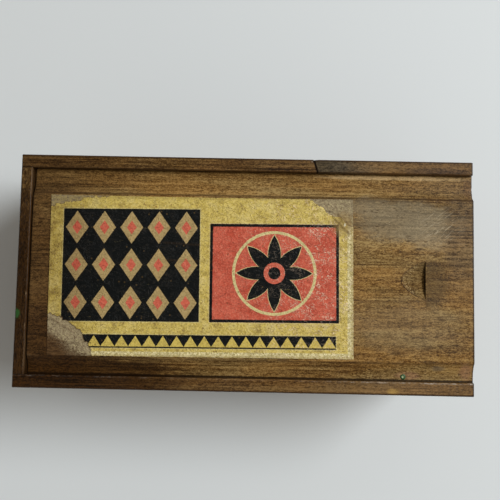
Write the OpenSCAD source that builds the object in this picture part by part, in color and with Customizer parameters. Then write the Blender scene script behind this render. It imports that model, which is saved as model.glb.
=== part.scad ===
// Chess box: a small stained wooden box. Its fielded lid runs in grooves in the two
// long walls and pulls out over the low open end. All sizes are in millimetres.
// +X is the way the lid opens, +Y is the back and +Z is up. The origin is on the
// underside, below the middle of the whole closed box.

/* [Box] */
// Length of the two long walls
box_l = 222; // [180:1:300]
// Width over the two long walls
box_w = 113.6; // [104:0.2:150]
// Height from the underside to the rim
box_h = 66; // [50:0.5:90]
// Thickness of the two long walls
wall_t = 6.35; // [5:0.05:9]
// Thickness of the two end boards
end_t = 5.4; // [4:0.1:8]
// Thickness of the base board
base_t = 5; // [4:0.1:8]
// Radius worn onto the outer edges
edge_r = 0.7; // [0.3:0.1:1.2]
// Radius worn onto the inner edges of the rim
inner_edge_r = 0.45; // [0.2:0.05:0.8]

/* [Corner joints] */
// Fingers in each comb joint, counted below the lip of the wall
comb_n = 9; // [5:1:13]

/* [Lid] */
// Height of the wall's lip above the groove
lip_h = 3.2; // [2.8:0.1:6]
// Depth of the groove in each long wall
groove_d = 3; // [2:0.1:3.6]
// Thickness of the lid's tongues
tongue_t = 3.1; // [2.4:0.1:4.5]
// Clearance above and below the tongues
tongue_gap = 0.25; // [0.15:0.05:0.5]
// Clearance between each tongue and the bottom of its groove
side_gap = 0.4; // [0.3:0.05:1]
// Gap between the lid's square end and the fixed end board
shut_gap = 0.4; // [0.3:0.05:1]
// Length of the lid that stands proud of the open end
lid_proud = 0.8; // [0:0.1:3]
// Height of the raised field above the tongues
field_h = 2.2; // [1.8:0.1:3.6]
// Width of the raised field
field_w = 79.1; // [60:0.1:80]
// Distance of the field's centre line in front of the box's
field_shift = 1.85; // [0:0.05:2.5]
// Radius of the cutter that hollowed the field's shoulders
cove_r = 12.7; // [5:0.1:13]

/* [Thumb notch] */
// Distance of the notch's stop cut from the lid's open end
notch_inset = 23.6; // [18:0.1:34]
// Length of the scoop in front of the stop cut
notch_l = 11.8; // [8:0.1:15]
// Width of the stop cut
notch_w = 19; // [14:0.1:26]
// Depth of the scoop at the stop cut
notch_depth = 1.6; // [1.4:0.1:3.5]
// Distance of the notch in front of the box's centre line
notch_shift = 1.6; // [0:0.1:5]

/* [Split lip] */
// Distance of the crack from the open end, on the outer face
crack_from_end = 78.4; // [40:0.1:120]
// How much nearer the open end the crack is on the inner face
crack_skew = 2; // [0:0.1:8]
// Width of the crack
crack_gap = 0.35; // [0.3:0.05:1]

/* [Label] */
// Length of the paper label
label_l = 148; // [100:0.5:150]
// Width of the paper label
label_w = 77.2; // [50:0.1:77.4]
// Thickness of each of the label's two plies
ply_t = 0.12; // [0.08:0.01:0.3]
// Bare field between the label and the lid's shut end
label_inset = 9.6; // [2:0.1:20]
// Turn of the crooked label
label_turn = 0.6; // [-0.6:0.1:0.6]
// Torn length along the back edge, at the shut end
tear_a = 19; // [5:0.5:30]
// Torn length along the back edge, at the open end
tear_b = 20.5; // [5:0.5:30]
// Torn length along the front edge, at the shut end
tear_c = 21; // [5:0.5:30]

/* [Base pins] */
// Pins along each long wall
pins_long = 4; // [3:1:8]
// Pins along each end board
pins_end = 2; // [1:1:4]
// Radius of a pin's shank
pin_r = 0.7; // [0.5:0.05:1]
// Radius of a pin's head
pin_head_r = 1.3; // [1.2:0.05:1.8]
// Thickness of a pin's head
pin_head_h = 0.8; // [0.5:0.1:1.2]
// Length of a pin
pin_l = 16; // [12:0.5:22]
// Depth of the pin heads below the underside
pin_sink = 0.4; // [0.3:0.1:0.8]
// Distance of the first and last pin from the ends of a wall
pin_inset = 17; // [12:0.5:30]

/* [Hidden] */

stain_brown = [0.36, 0.25, 0.15];
lid_brown = [0.42, 0.31, 0.19];
base_brown = [0.45, 0.36, 0.25];
repair_brown = [0.40, 0.32, 0.23];
paper_ochre = [0.73, 0.65, 0.36];
steel_grey = [0.45, 0.44, 0.42];

arc_steps = 6;
cove_steps = 12;
round_fn = 32;
gouge_fn = 96;
// Overshoot of a cutting shape past the face it opens
past = 1;
// Share of a tear's length that it reaches along the label's short edge
tear_shares = [0.2, 0.7, 0.95];
// Bevel on the long edges of the tongues
tongue_bevel = 0.3;

// The lid stands proud at one end, so the walls' middle is off the origin
wall_x0 = -(box_l + lid_proud) / 2;
wall_x1 = wall_x0 + box_l;
inner_w = box_w - 2 * wall_t;

// Heights, from the rim down to the groove and the lid in it
groove_top = box_h - lip_h;
groove_floor = groove_top - tongue_t - 2 * tongue_gap;
lid_z0 = groove_floor + tongue_gap;
shelf_z = lid_z0 + tongue_t;
field_z = shelf_z + field_h;

lid_x0 = wall_x0 + end_t + shut_gap;
lid_x1 = wall_x1 + lid_proud;
lid_half_w = inner_w / 2 + groove_d - side_gap;
field_front = -field_shift - field_w / 2;
field_back = -field_shift + field_w / 2;
// Width of a hollow shoulder: the cutter is tangent to the shelf at its foot
cove_w = sqrt(2 * cove_r * field_h - field_h * field_h);

comb_h = (groove_top - base_t) / comb_n;

notch_tilt = atan(notch_depth / notch_l);
notch_drop = notch_depth * cos(notch_tilt);
// Radius of the gouge that gives the stop cut its width
gouge_r = (notch_w * notch_w / 4 + notch_drop * notch_drop) / (2 * notch_drop);

function arc(centre, r, from, to, steps) =
    [for (i = [0:steps]) let (a = from + (to - from) * i / steps) centre + r * [cos(a), sin(a)]];

// A rectangle from lo to hi with round corners, anticlockwise
function round_rect(lo, hi, r) = concat(
    arc([lo[0] + r, lo[1] + r], r, 180, 270, arc_steps),
    arc([hi[0] - r, lo[1] + r], r, 270, 360, arc_steps),
    arc([hi[0] - r, hi[1] - r], r, 0, 90, arc_steps),
    arc([lo[0] + r, hi[1] - r], r, 90, 180, arc_steps));

// Stands a drawing of (Y, Z) up and pulls it along X from x0 to x1
module along_x(x0, x1) {
    translate([x0, 0, 0])
        rotate([90, 0, 90])
            linear_extrude(height = x1 - x0)
                children();
}

// Stands a drawing of (X, Z) up and pulls it along Y from y0 to y1
module along_y(y0, y1) {
    translate([0, y1, 0])
        rotate([90, 0, 0])
            linear_extrude(height = y1 - y0)
                children();
}

// The outside of the box as one block with all its outer edges worn round
module box_block() {
    intersection() {
        linear_extrude(height = box_h)
            polygon(round_rect([wall_x0, -box_w / 2], [wall_x1, box_w / 2], edge_r));
        along_x(wall_x0, wall_x1)
            polygon(round_rect([-box_w / 2, 0], [box_w / 2, box_h], edge_r));
        along_y(-box_w / 2, box_w / 2)
            polygon(round_rect([wall_x0, 0], [wall_x1, box_h], edge_r));
    }
}

// Section of the back wall as (Y, Z), with the lid's groove and the round inner arris
module wall_section() {
    outer_y = box_w / 2;
    inner_y = inner_w / 2;
    web_y = inner_y + groove_d;
    polygon(concat(
        [[outer_y, base_t], [outer_y, box_h]],
        arc([inner_y + inner_edge_r, box_h - inner_edge_r], inner_edge_r, 90, 180, arc_steps),
        [[inner_y, groove_top], [web_y, groove_top], [web_y, groove_floor],
            [inner_y, groove_floor], [inner_y, base_t]]));
}

// Fingers of one end board in both walls. Every other one belongs to the end boards,
// starting under the lip, and none reaches above top_z.
module end_fingers(x0, top_z) {
    for (i = [0:2:comb_n - 1], side = [-1, 1]) {
        finger_z0 = groove_top - (i + 1) * comb_h;
        finger_z1 = min(finger_z0 + comb_h, top_z);
        finger_y = side * (box_w - wall_t) / 2;
        if (finger_z1 > finger_z0)
            translate([x0, finger_y - wall_t / 2, finger_z0])
                cube([end_t, wall_t, finger_z1 - finger_z0]);
    }
}

// One long wall with its grooves and comb sockets, at the back
module long_wall() {
    difference() {
        intersection() {
            box_block();
            along_x(wall_x0, wall_x1)
                wall_section();
        }
        end_fingers(wall_x0, groove_top);
        end_fingers(wall_x1 - end_t, groove_floor);
        pins();
    }
}

// Everything above the split on the open end's side of the crack
module split_zone(shift) {
    crack_out = wall_x1 - crack_from_end + shift;
    crack_in = crack_out + crack_skew;
    // The crack runs on straight past both faces of the wall
    slope = crack_skew / wall_t;
    translate([0, 0, groove_top])
        linear_extrude(height = lip_h + past)
            polygon([
                [crack_in + slope * past, inner_w / 2 - past],
                [wall_x1 + past, inner_w / 2 - past],
                [wall_x1 + past, box_w / 2 + past],
                [crack_out - slope * past, box_w / 2 + past]]);
}

// Part of an end board between the walls, with its top edges eased
module end_panel(x0, top_z) {
    along_y(-inner_w / 2, inner_w / 2)
        polygon(concat(
            [[x0, base_t], [x0 + end_t, base_t]],
            arc([x0 + end_t - inner_edge_r, top_z - inner_edge_r], inner_edge_r, 0, 90, arc_steps),
            arc([x0 + inner_edge_r, top_z - inner_edge_r], inner_edge_r, 90, 180, arc_steps)));
}

// Every base pin: the two rows under the long walls, then the two under the end boards
module pins() {
    row_y = (box_w - wall_t) / 2;
    row_pitch = (box_l - 2 * pin_inset) / (pins_long - 1);
    end_pitch = inner_w / pins_end;
    for (i = [0:pins_long - 1], side = [-1, 1])
        translate([wall_x0 + pin_inset + i * row_pitch, side * row_y, 0])
            pin();
    for (i = [0:pins_end - 1], x = [wall_x0 + end_t / 2, wall_x1 - end_t / 2])
        translate([x, (i + 0.5) * end_pitch - inner_w / 2, 0])
            pin();
}

// A panel pin, driven up from below with its head punched under the surface
module pin() {
    translate([0, 0, pin_sink]) {
        cylinder(r = pin_head_r, h = pin_head_h, $fn = round_fn);
        cylinder(r = pin_r, h = pin_l - 2 * pin_r, $fn = round_fn);
        translate([0, 0, pin_l - 2 * pin_r])
            cylinder(r1 = pin_r, r2 = pin_r / 4, h = 2 * pin_r, $fn = round_fn);
    }
}

// Section of the lid as (Y, Z): tongues, hollow shoulders and raised field
module lid_section() {
    cove_z = shelf_z + cove_r;
    sweep = acos((cove_r - field_h) / cove_r);
    polygon(concat(
        [[-lid_half_w + tongue_bevel, lid_z0], [lid_half_w - tongue_bevel, lid_z0],
            [lid_half_w, lid_z0 + tongue_bevel], [lid_half_w, shelf_z - tongue_bevel],
            [lid_half_w - tongue_bevel, shelf_z]],
        arc([field_back + cove_w, cove_z], cove_r, 270, 270 - sweep, cove_steps),
        arc([field_front - cove_w, cove_z], cove_r, 270 + sweep, 270, cove_steps),
        [[-lid_half_w + tongue_bevel, shelf_z], [-lid_half_w, shelf_z - tongue_bevel],
            [-lid_half_w, lid_z0 + tongue_bevel]]));
}

// The scoop of a gouge that goes in shallow and deepens up to the upright stop cut
module notch_cut() {
    stop_x = lid_x1 - notch_inset;
    reach = 2 * notch_l;
    intersection() {
        translate([stop_x, -notch_shift, field_z - notch_depth])
            rotate([0, notch_tilt, 0])
                translate([-reach, 0, gouge_r])
                    rotate([0, 90, 0])
                        cylinder(r = gouge_r, h = 2 * reach, $fn = gouge_fn);
        translate([stop_x - reach, -notch_shift - notch_w, field_z - 2 * notch_depth])
            cube([reach, 2 * notch_w, 4 * notch_depth]);
    }
}

// One ply of the label: whole, or with its torn corners gone
module label_ply(torn) {
    half = [label_l, label_w] / 2;
    left_back = torn ? [tear_a, tear_a * tear_shares[0]] : [0, 0];
    right_back = torn ? [tear_b, tear_b * tear_shares[1]] : [0, 0];
    left_front = torn ? [tear_c, tear_c * tear_shares[2]] : [0, 0];
    polygon(concat(
        torn ? [[-half[0], -half[1] + left_front[1]], [-half[0] + left_front[0], -half[1]]] : [-half],
        [[half[0], -half[1]]],
        torn ? [[half[0], half[1] - right_back[1]], [half[0] - right_back[0], half[1]]] : [half],
        torn ? [[-half[0] + left_back[0], half[1]], [-half[0], half[1] - left_back[1]]]
            : [[-half[0], half[1]]]));
}

module front_wall() {
    color(stain_brown)
        mirror([0, 1, 0])
            long_wall();
}

module back_wall() {
    color(stain_brown)
        difference() {
            long_wall();
            split_zone(0);
        }
}

module back_wall_lip() {
    color(repair_brown)
        intersection() {
            long_wall();
            split_zone(crack_gap);
        }
}

module fixed_end() {
    color(stain_brown)
        difference() {
            intersection() {
                box_block();
                union() {
                    end_panel(wall_x0, box_h);
                    end_fingers(wall_x0, groove_top);
                }
            }
            pins();
        }
}

module open_end() {
    color(stain_brown)
        difference() {
            intersection() {
                box_block();
                union() {
                    end_panel(wall_x1 - end_t, groove_floor);
                    end_fingers(wall_x1 - end_t, groove_floor);
                }
            }
            pins();
        }
}

module base_board() {
    color(base_brown)
        difference() {
            intersection() {
                box_block();
                translate([wall_x0, -box_w / 2, 0])
                    cube([box_l, box_w, base_t]);
            }
            pins();
            // The pits above the punched heads
            translate([0, 0, -pin_head_h])
                pins();
        }
}

module base_pins() {
    color(steel_grey)
        pins();
}

module sliding_lid() {
    color(lid_brown)
        difference() {
            along_x(lid_x0, lid_x1)
                lid_section();
            notch_cut();
        }
}

module lid_label() {
    color(paper_ochre)
        translate([lid_x0 + label_inset + label_l / 2, -field_shift, field_z])
            rotate([0, 0, label_turn]) {
                linear_extrude(height = ply_t)
                    label_ply(false);
                translate([0, 0, ply_t])
                    linear_extrude(height = ply_t)
                        label_ply(true);
            }
}

front_wall();
back_wall();
back_wall_lip();
fixed_end();
open_end();
base_board();
base_pins();
sliding_lid();
lid_label();
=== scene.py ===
"""Looks of a worn, stained chess box whose fielded lid carries an old printed paper label."""

import math
import random
from functools import partialmethod

import bmesh
import bpy
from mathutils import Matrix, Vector, noise


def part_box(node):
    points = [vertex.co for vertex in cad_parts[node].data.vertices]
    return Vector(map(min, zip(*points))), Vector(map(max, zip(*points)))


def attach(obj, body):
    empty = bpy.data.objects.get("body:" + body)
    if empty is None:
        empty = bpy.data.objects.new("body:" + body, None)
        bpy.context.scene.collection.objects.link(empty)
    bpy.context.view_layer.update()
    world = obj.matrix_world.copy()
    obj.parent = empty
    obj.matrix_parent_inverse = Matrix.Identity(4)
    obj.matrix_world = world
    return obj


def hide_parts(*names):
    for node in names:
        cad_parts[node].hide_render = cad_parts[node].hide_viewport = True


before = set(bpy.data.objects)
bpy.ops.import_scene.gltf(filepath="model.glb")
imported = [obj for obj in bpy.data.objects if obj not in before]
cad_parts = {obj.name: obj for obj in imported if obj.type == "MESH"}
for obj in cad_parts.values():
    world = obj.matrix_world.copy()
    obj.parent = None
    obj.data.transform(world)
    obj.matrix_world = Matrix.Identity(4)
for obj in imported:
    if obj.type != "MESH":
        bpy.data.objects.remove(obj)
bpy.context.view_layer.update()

MM = 0.001


def in_mm(corners):
    return [corner / MM for corner in corners]


# Places and sizes read from the frame, in millimetres
WALL_LO, WALL_HI = in_mm(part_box("front_wall"))
BACK_LO, BACK_HI = in_mm(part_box("back_wall"))
LIP_LO = in_mm(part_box("back_wall_lip"))[0]
END_LO, END_HI = in_mm(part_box("fixed_end"))
OPEN_LO, OPEN_HI = in_mm(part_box("open_end"))
LID_LO, LID_HI = in_mm(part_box("sliding_lid"))
LABEL_LO, LABEL_HI = in_mm(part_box("lid_label"))

RIM_Z = BACK_HI.z
OUTER_Y = BACK_HI.y
INNER_Y = BACK_LO.y
LIP_Z = LIP_LO.z

# The split through the back lip runs slantwise from the outer face
CRACK_X = LIP_LO.x
CRACK_GAP = 0.35
CRACK_SLANT = 2.0 / (BACK_HI.y - BACK_LO.y)

# Below the lid's grooves the inner faces were never stained
BARE_Z = LIP_Z - 3.7

# The lid's raised field, in front of the box's centre line
FIELD_Z = LID_HI.z
FIELD_H = 2.2
SHELF_Z = FIELD_Z - FIELD_H
FIELD_MID_Y = (LABEL_LO.y + LABEL_HI.y) / 2
FIELD_HALF_W = 39.55
FIELD_BACK, FIELD_FRONT = FIELD_MID_Y + FIELD_HALF_W, FIELD_MID_Y - FIELD_HALF_W

# The label's own size: its node's box also holds its slight turn
LABEL_TURN = math.radians(0.6)
LABEL_MID = (LABEL_LO + LABEL_HI) / 2
LABEL_L = 148.0
LABEL_W = 77.2
HALF_L = LABEL_L / 2
HALF_W = LABEL_W / 2
PLY = (LABEL_HI.z - LABEL_LO.z) / 2

# The thumb notch: its stop cut, its scoop and the gouge that made it
NOTCH_X = LID_HI.x - 23.6
NOTCH_Y = -1.6
NOTCH_L = 11.8
NOTCH_W = 19.0
NOTCH_DEPTH = 1.6
GOUGE_R = (NOTCH_W ** 2 / 4 + NOTCH_DEPTH ** 2) / (2 * NOTCH_DEPTH)

# Angles above which an edge stays sharp, in degrees
WOOD_SHARP = 32
PAPER_SHARP = 60


class Tree:
    """A material's node tree, with short calls that add a node and return its output."""

    def __init__(self, name):
        self.material = bpy.data.materials.new(name)
        self.material.use_nodes = True
        self.nodes = self.material.node_tree.nodes
        self.links = self.material.node_tree.links
        self.shader = self.nodes["Principled BSDF"]
        coords = self.node("TexCoord", {})
        self.place = self.scaled(coords.outputs["Object"], (1 / MM,) * 3)
        self.normal = coords.outputs["Normal"]

        # Where a wood's extra marks leave it dull, and darker as painted shade
        self.matt_and_shade = None

    def put(self, socket, value):
        if isinstance(value, bpy.types.NodeSocket):
            self.links.new(value, socket)
        elif value is not None:
            socket.default_value = value

    def node(self, kind, settings, *values, **named):
        """A new node: its settings are made first, then its inputs, in order or by name."""
        node = self.nodes.new("ShaderNode" + kind)
        for name, value in settings.items():
            setattr(node, name, value)
        for socket, value in zip(node.inputs, values):
            self.put(socket, value)
        for name, value in named.items():
            self.put(node.inputs[name], value)
        return node

    def math(self, operation, a, b=None, clamp=False):
        return self.node("Math", {"operation": operation, "use_clamp": clamp}, a, b).outputs[0]

    def chain(self, operation, result, *others):
        """The operation on the first two values, then on the result and the next one."""
        for other in others:
            result = self.math(operation, result, other)
        return result

    add = partialmethod(chain, "ADD")
    mul = partialmethod(chain, "MULTIPLY")
    peak = partialmethod(chain, "MAXIMUM")
    low = partialmethod(chain, "MINIMUM")
    sub = partialmethod(math, "SUBTRACT")
    absolute = partialmethod(math, "ABSOLUTE")

    def vector(self, operation, a, b=None):
        node = self.node("VectorMath", {"operation": operation}, a, b)
        return node.outputs["Value" if operation == "LENGTH" else "Vector"]

    scaled = partialmethod(vector, "MULTIPLY")

    def placed(self, *factors):
        """The place on the object, scaled by axis."""
        return self.scaled(self.place, factors)

    def turned(self, angle, centre=(0.0, 0.0, 0.0)):
        """The place on the object, turned by the angle about an upright axis through centre."""
        return self.node("VectorRotate", {"rotation_type": "Z_AXIS"}, Vector=self.place,
                         Center=centre, Angle=angle).outputs[0]

    def split(self, vector):
        return self.node("SeparateXYZ", {}, vector).outputs

    def join(self, x, y, z):
        return self.node("CombineXYZ", {}, x, y, z).outputs[0]

    def step(self, value, start, end, to=(0.0, 1.0)):
        """Smooth step of value from start to end; start may be the larger."""
        settings = {"interpolation_type": "SMOOTHSTEP"}
        return self.node("MapRange", settings, value, start, end, *to).outputs[0]

    def noise(self, scale=1.0, detail=3.0, rough=0.55, warp=0.0, at=None):
        """Noise over the place on the object, or over another vector."""
        return self.node("TexNoise", {}, Vector=at or self.place, Scale=scale, Detail=detail,
                         Roughness=rough, Distortion=warp).outputs["Fac"]

    def spots(self, vector, fade, share=None, scale=1.0):
        """A spot in each cell, its rim fading between these distances; or only in the share of
        the cells whose random numbers lie above this step."""
        node = self.node("TexVoronoi", {}, Vector=vector, Scale=scale)
        spot = self.step(node.outputs["Distance"], *fade)
        if share is None:
            return spot
        return self.mul(spot, self.step(self.split(node.outputs["Color"])[0], *share))

    def attribute(self, name):
        return self.node("Attribute", {"attribute_name": name}).outputs["Fac"]

    def mix(self, factor, a, b, blend="MIX"):
        settings = {"data_type": "RGBA", "blend_type": blend}
        return self.node("Mix", settings, Factor=factor, A=rgba(a), B=rgba(b)).outputs["Result"]

    def over(self, colour, stain_and_shade, *masks):
        """The colour with a stain or painted shade laid over it, by the product of the masks."""
        return self.mix(self.mul(*masks), colour, stain_and_shade)

    def ramp(self, factor, stops):
        node = self.node("ValToRGB", {}, factor)
        set_stops(node, stops)
        return node.outputs["Color"]

    def bump(self, height, distance, below=None):
        """Bump by a height that runs from 0 to 1 over the given distance in millimetres."""
        return self.node("Bump", {}, Height=height, Distance=distance * MM, Normal=below).outputs[0]

    def finish(self, colour, rough, normal=None, specular=0.5):
        self.put(self.shader.inputs["Base Color"], rgba(colour))
        self.put(self.shader.inputs["Roughness"], rough)
        self.put(self.shader.inputs["Normal"], normal)
        self.put(self.shader.inputs["Specular IOR Level"], specular)
        return self.material


def rgba(colour):
    """A colour with its alpha, or the socket it was given."""
    return (*colour, 1.0) if isinstance(colour, tuple) and len(colour) == 3 else colour


def set_stops(node, stops):
    """Gives a colour ramp its places and colours."""
    elements = node.color_ramp.elements
    while len(elements) < len(stops):
        elements.new(0.5)
    for element, (position, colour) in zip(elements, stops):
        element.position = position
        element.color = rgba(colour)


def scaled_tone(colour, factor):
    return tuple(min(1.0, c * factor) for c in colour)


def near(tree, point, weights, reach, ragged=None, soft=0.6):
    """Full within reach of a point, line or plane, in millimetres: a weight of 0 drops an axis."""
    offset = tree.vector("SUBTRACT", tree.place, point)
    away = tree.mul(tree.vector("LENGTH", tree.scaled(offset, weights)), 1 / reach)
    if ragged is not None:
        away = tree.add(away, tree.mul(tree.sub(ragged, 0.5), 1.6))
    return tree.step(away, 1.0 + soft, 1.0 - soft)


def oval(tree, x, y, half_length, half_width, ragged=None, soft=0.6):
    """Full inside an oval that is seen from above."""
    return near(tree, (x, y, 0.0), (1 / half_length, 1 / half_width, 0.0), 1.0, ragged, soft)


def blot(centre, radii, colour, strength):
    """A ragged patch of colour for stains and for painted shade. Two radii give a patch that goes
    right through, three a local one.
    """
    inverse = [1 / r for r in radii] + [0.0] * (3 - len(radii))
    centre = (*centre, 0.0) if len(centre) == 2 else centre
    return centre, tuple(inverse), colour, strength


WORN_BROWN = (0.230, 0.145, 0.070)
WORN_PALE = (0.450, 0.385, 0.320)


def wood(name, grain, tones, stains_and_shade=(), marks=(), edges=(), bare=False, worn=WORN_BROWN, extra=None,
         pitted=None):
    """Straight-grained hardwood. grain is the axis that it runs along, tones are dark, middle
    and light, stains_and_shade (stains, and painted shade) and marks come from blot(), and
    edges are places for near() with a colour and a strength, many of them painted shade in
    gaps and corners. extra adds to the colour, and pitted is the oval() where the grain is short."""
    tree = Tree(name)
    dark, middle, light = tones

    def stretched(along, across, shift=None):
        place = tree.placed(*((along, across) if grain == "X" else (across, along)), across)
        return tree.vector("ADD", place, shift) if shift else place

    def part(weight, along, across, **options):
        return tree.mul(tree.sub(tree.noise(at=stretched(along, across), **options), 0.5), weight)

    tone = tree.add(0.5, part(0.60, 0.010, 0.045, detail=3),
                    part(0.50, 0.012, 0.36, detail=4, rough=0.6, warp=0.6))
    lines = tree.add(part(1.20, 0.028, 1.15, detail=3, rough=0.65),
                     part(0.70, 0.300, 1.05, detail=3))
    pebbles = tree.add(part(1.10, 0.240, 1.15, detail=4, rough=0.7),
                       part(1.05, 0.600, 1.55, detail=3, rough=0.7))
    pebbled = tree.step(tree.noise(detail=2, at=stretched(0.014, 0.045)), 0.42, 0.60)
    if pitted:
        pebbled = tree.peak(pebbled, oval(tree, *pitted))
    tone = tree.add(tone, tree.mul(lines, tree.sub(1.0, pebbled)), tree.mul(pebbles, pebbled))
    tone = tree.add(tone, part(0.95, 1.500, 2.60, detail=2))
    colour = tree.ramp(tone, [(0.26, dark), (0.50, middle), (0.74, light)])
    hue = tree.noise(detail=3, at=stretched(0.022, 0.10, (5.0, 1.0, 8.0)))
    tint = tree.ramp(hue, [(0.40, (0.95, 1.0, 1.0)), (0.60, (1.0, 0.92, 0.76))])
    colour = tree.mix(1.0, colour, tint, "MULTIPLY")
    flecks = tree.spots(stretched(0.50, 1.5, (1.7, 8.8, 3.3)), (0.34, 0.14), (0.74, 0.80))
    colour = tree.over(colour, scaled_tone(light, 1.4), flecks, 0.30)

    ragged = tree.noise(detail=7, rough=0.7, at=stretched(0.09, 0.22))
    deep = tree.ramp(tone, [(0.26, (0.14,) * 3), (0.74, (0.92,) * 3)])
    mild = tree.ramp(tone, [(0.26, (0.56,) * 3), (0.74, (1.0,) * 3)])
    for centre, inverse, stain_and_shade, strength in stains_and_shade:
        shaded = tree.mix(1.0, scaled_tone(stain_and_shade, 1.55), deep, "MULTIPLY")
        if max(stain_and_shade) > 0.20:
            shaded = tree.mix(1.0, scaled_tone(stain_and_shade, 1.12), mild, "MULTIPLY")
        mask = near(tree, centre, inverse, 1.0, ragged, soft=0.45)
        colour = tree.over(colour, shaded, mask, strength)

    # Open pores and blots: dark dashes along the grain, thicker in some bands than in others
    crowd = tree.step(tree.noise(detail=3, at=stretched(0.035, 0.12)), 0.38, 0.62, (0.15, 1.0))
    big = tree.spots(stretched(0.34, 1.05, (4.1, 2.3, 9.2)), (0.40, 0.16), (0.62, 0.70))
    small = tree.spots(stretched(0.55, 2.1, (7.3, 3.1, 5.7)), (0.36, 0.16), (0.52, 0.60))
    pores = tree.peak(tree.mul(big, crowd), tree.mul(small, 0.65))
    fine = tree.noise(2.2, detail=3, rough=0.7)
    colour = tree.over(colour, scaled_tone(dark, 0.50), pores, 0.35 if bare else 0.66)
    for centre, inverse, stain_and_shade, strength in marks:
        mask = near(tree, centre, inverse, 1.0, fine, soft=0.35)
        colour = tree.over(colour, stain_and_shade, mask, strength)

    # Cut ends of the fibres: darker, with round pores
    along = tree.absolute(tree.split(tree.normal)[0 if grain == "X" else 1])
    spots = tree.spots(stretched(0.0, 1.9), (0.36, 0.18))
    rings = tree.noise(detail=3, warp=0.8, at=stretched(0.0, 0.32))
    end_tone = tree.mix(rings, scaled_tone(dark, 0.75), scaled_tone(middle, 0.80))
    end_tone = tree.mix(spots, end_tone, scaled_tone(dark, 0.40))
    colour = tree.mix(tree.step(along, 0.55, 0.85), colour, end_tone)

    # Wear rubs edges pale; the edge marks lay dirt beside them and painted shade in gaps and
    # corners
    scratch = tree.noise(detail=5, rough=0.7, at=stretched(0.5, 1.4))
    wear = tree.mul(tree.attribute("wear"), tree.step(scratch, 0.44, 0.58))
    colour = tree.mix(wear, colour, worn)
    for point, weights, reach, stain_and_shade, strength in edges:
        mask = near(tree, point, weights, reach, scratch, soft=0.5)
        colour = tree.over(colour, stain_and_shade, mask, strength)
    if extra:
        colour = extra(tree, colour)

    rub = tree.noise(detail=4, at=stretched(0.05, 0.12))
    rough = tree.step(rub, 0.3, 0.7, (0.62, 0.80) if bare else (0.36, 0.54))
    rough = tree.math("ADD", rough, tree.mul(pores, 0.15), clamp=True)
    if tree.matt_and_shade:
        rough = tree.peak(rough, tree.mul(tree.matt_and_shade, 0.90))
    relief = tree.bump(tree.sub(1.0, pores), 0.09)
    relief = tree.bump(tree.noise(detail=3, rough=0.6, at=stretched(0.20, 1.9)), 0.07, below=relief)
    relief = tree.bump(tree.noise(detail=2, at=stretched(0.05, 0.16)), 0.20, below=relief)
    return tree.finish(colour, rough, relief, specular=0.15)


# Stained hardwood: dark, middle and light
WALL_TONES = ((0.044, 0.018, 0.004), (0.136, 0.068, 0.020), (0.265, 0.150, 0.054))
LID_TONES = ((0.070, 0.030, 0.006), (0.212, 0.117, 0.036), (0.380, 0.236, 0.088))
BASE_TONES = ((0.100, 0.054, 0.021), (0.205, 0.124, 0.056), (0.310, 0.205, 0.105))
BARE_TONES = ((0.215, 0.128, 0.058), (0.345, 0.222, 0.116), (0.450, 0.310, 0.178))
# Grey of worn varnish, with a painted sheen in it
GREY_WEAR_AND_SHEEN = (0.250, 0.192, 0.112)
# Dark stain, also laid as painted shade
DARK_STAIN_AND_SHADE = (0.032, 0.013, 0.003)
# Near-black of dirt, and of painted shade in gaps, corners, the split and the stop cut
DEEP_SHADE_AND_DIRT = (0.010, 0.004, 0.001)
PINK_RUB = (0.300, 0.150, 0.080)
OLD_GREEN = (0.022, 0.080, 0.018)
PALE_SCRATCH_AND_GLINT = (0.430, 0.350, 0.230)


def label_edge_shadow_and_dirt(tree, colour):
    """Painted shadow of the label's edges on the lid, and dirt along them."""
    middle = (LABEL_MID.x, LABEL_MID.y, 0.0)
    offset = tree.vector("SUBTRACT", tree.turned(-LABEL_TURN, middle), middle)
    u, v, _ = tree.split(tree.vector("ABSOLUTE", offset))
    outside = tree.peak(tree.sub(u, HALF_L), tree.sub(v, HALF_W))
    ragged = tree.noise(0.5, detail=3)
    edge = tree.step(tree.add(outside, tree.mul(ragged, 0.8)), 1.3, 0.3)
    return tree.over(colour, DARK_STAIN_AND_SHADE, edge, 0.65)


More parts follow.
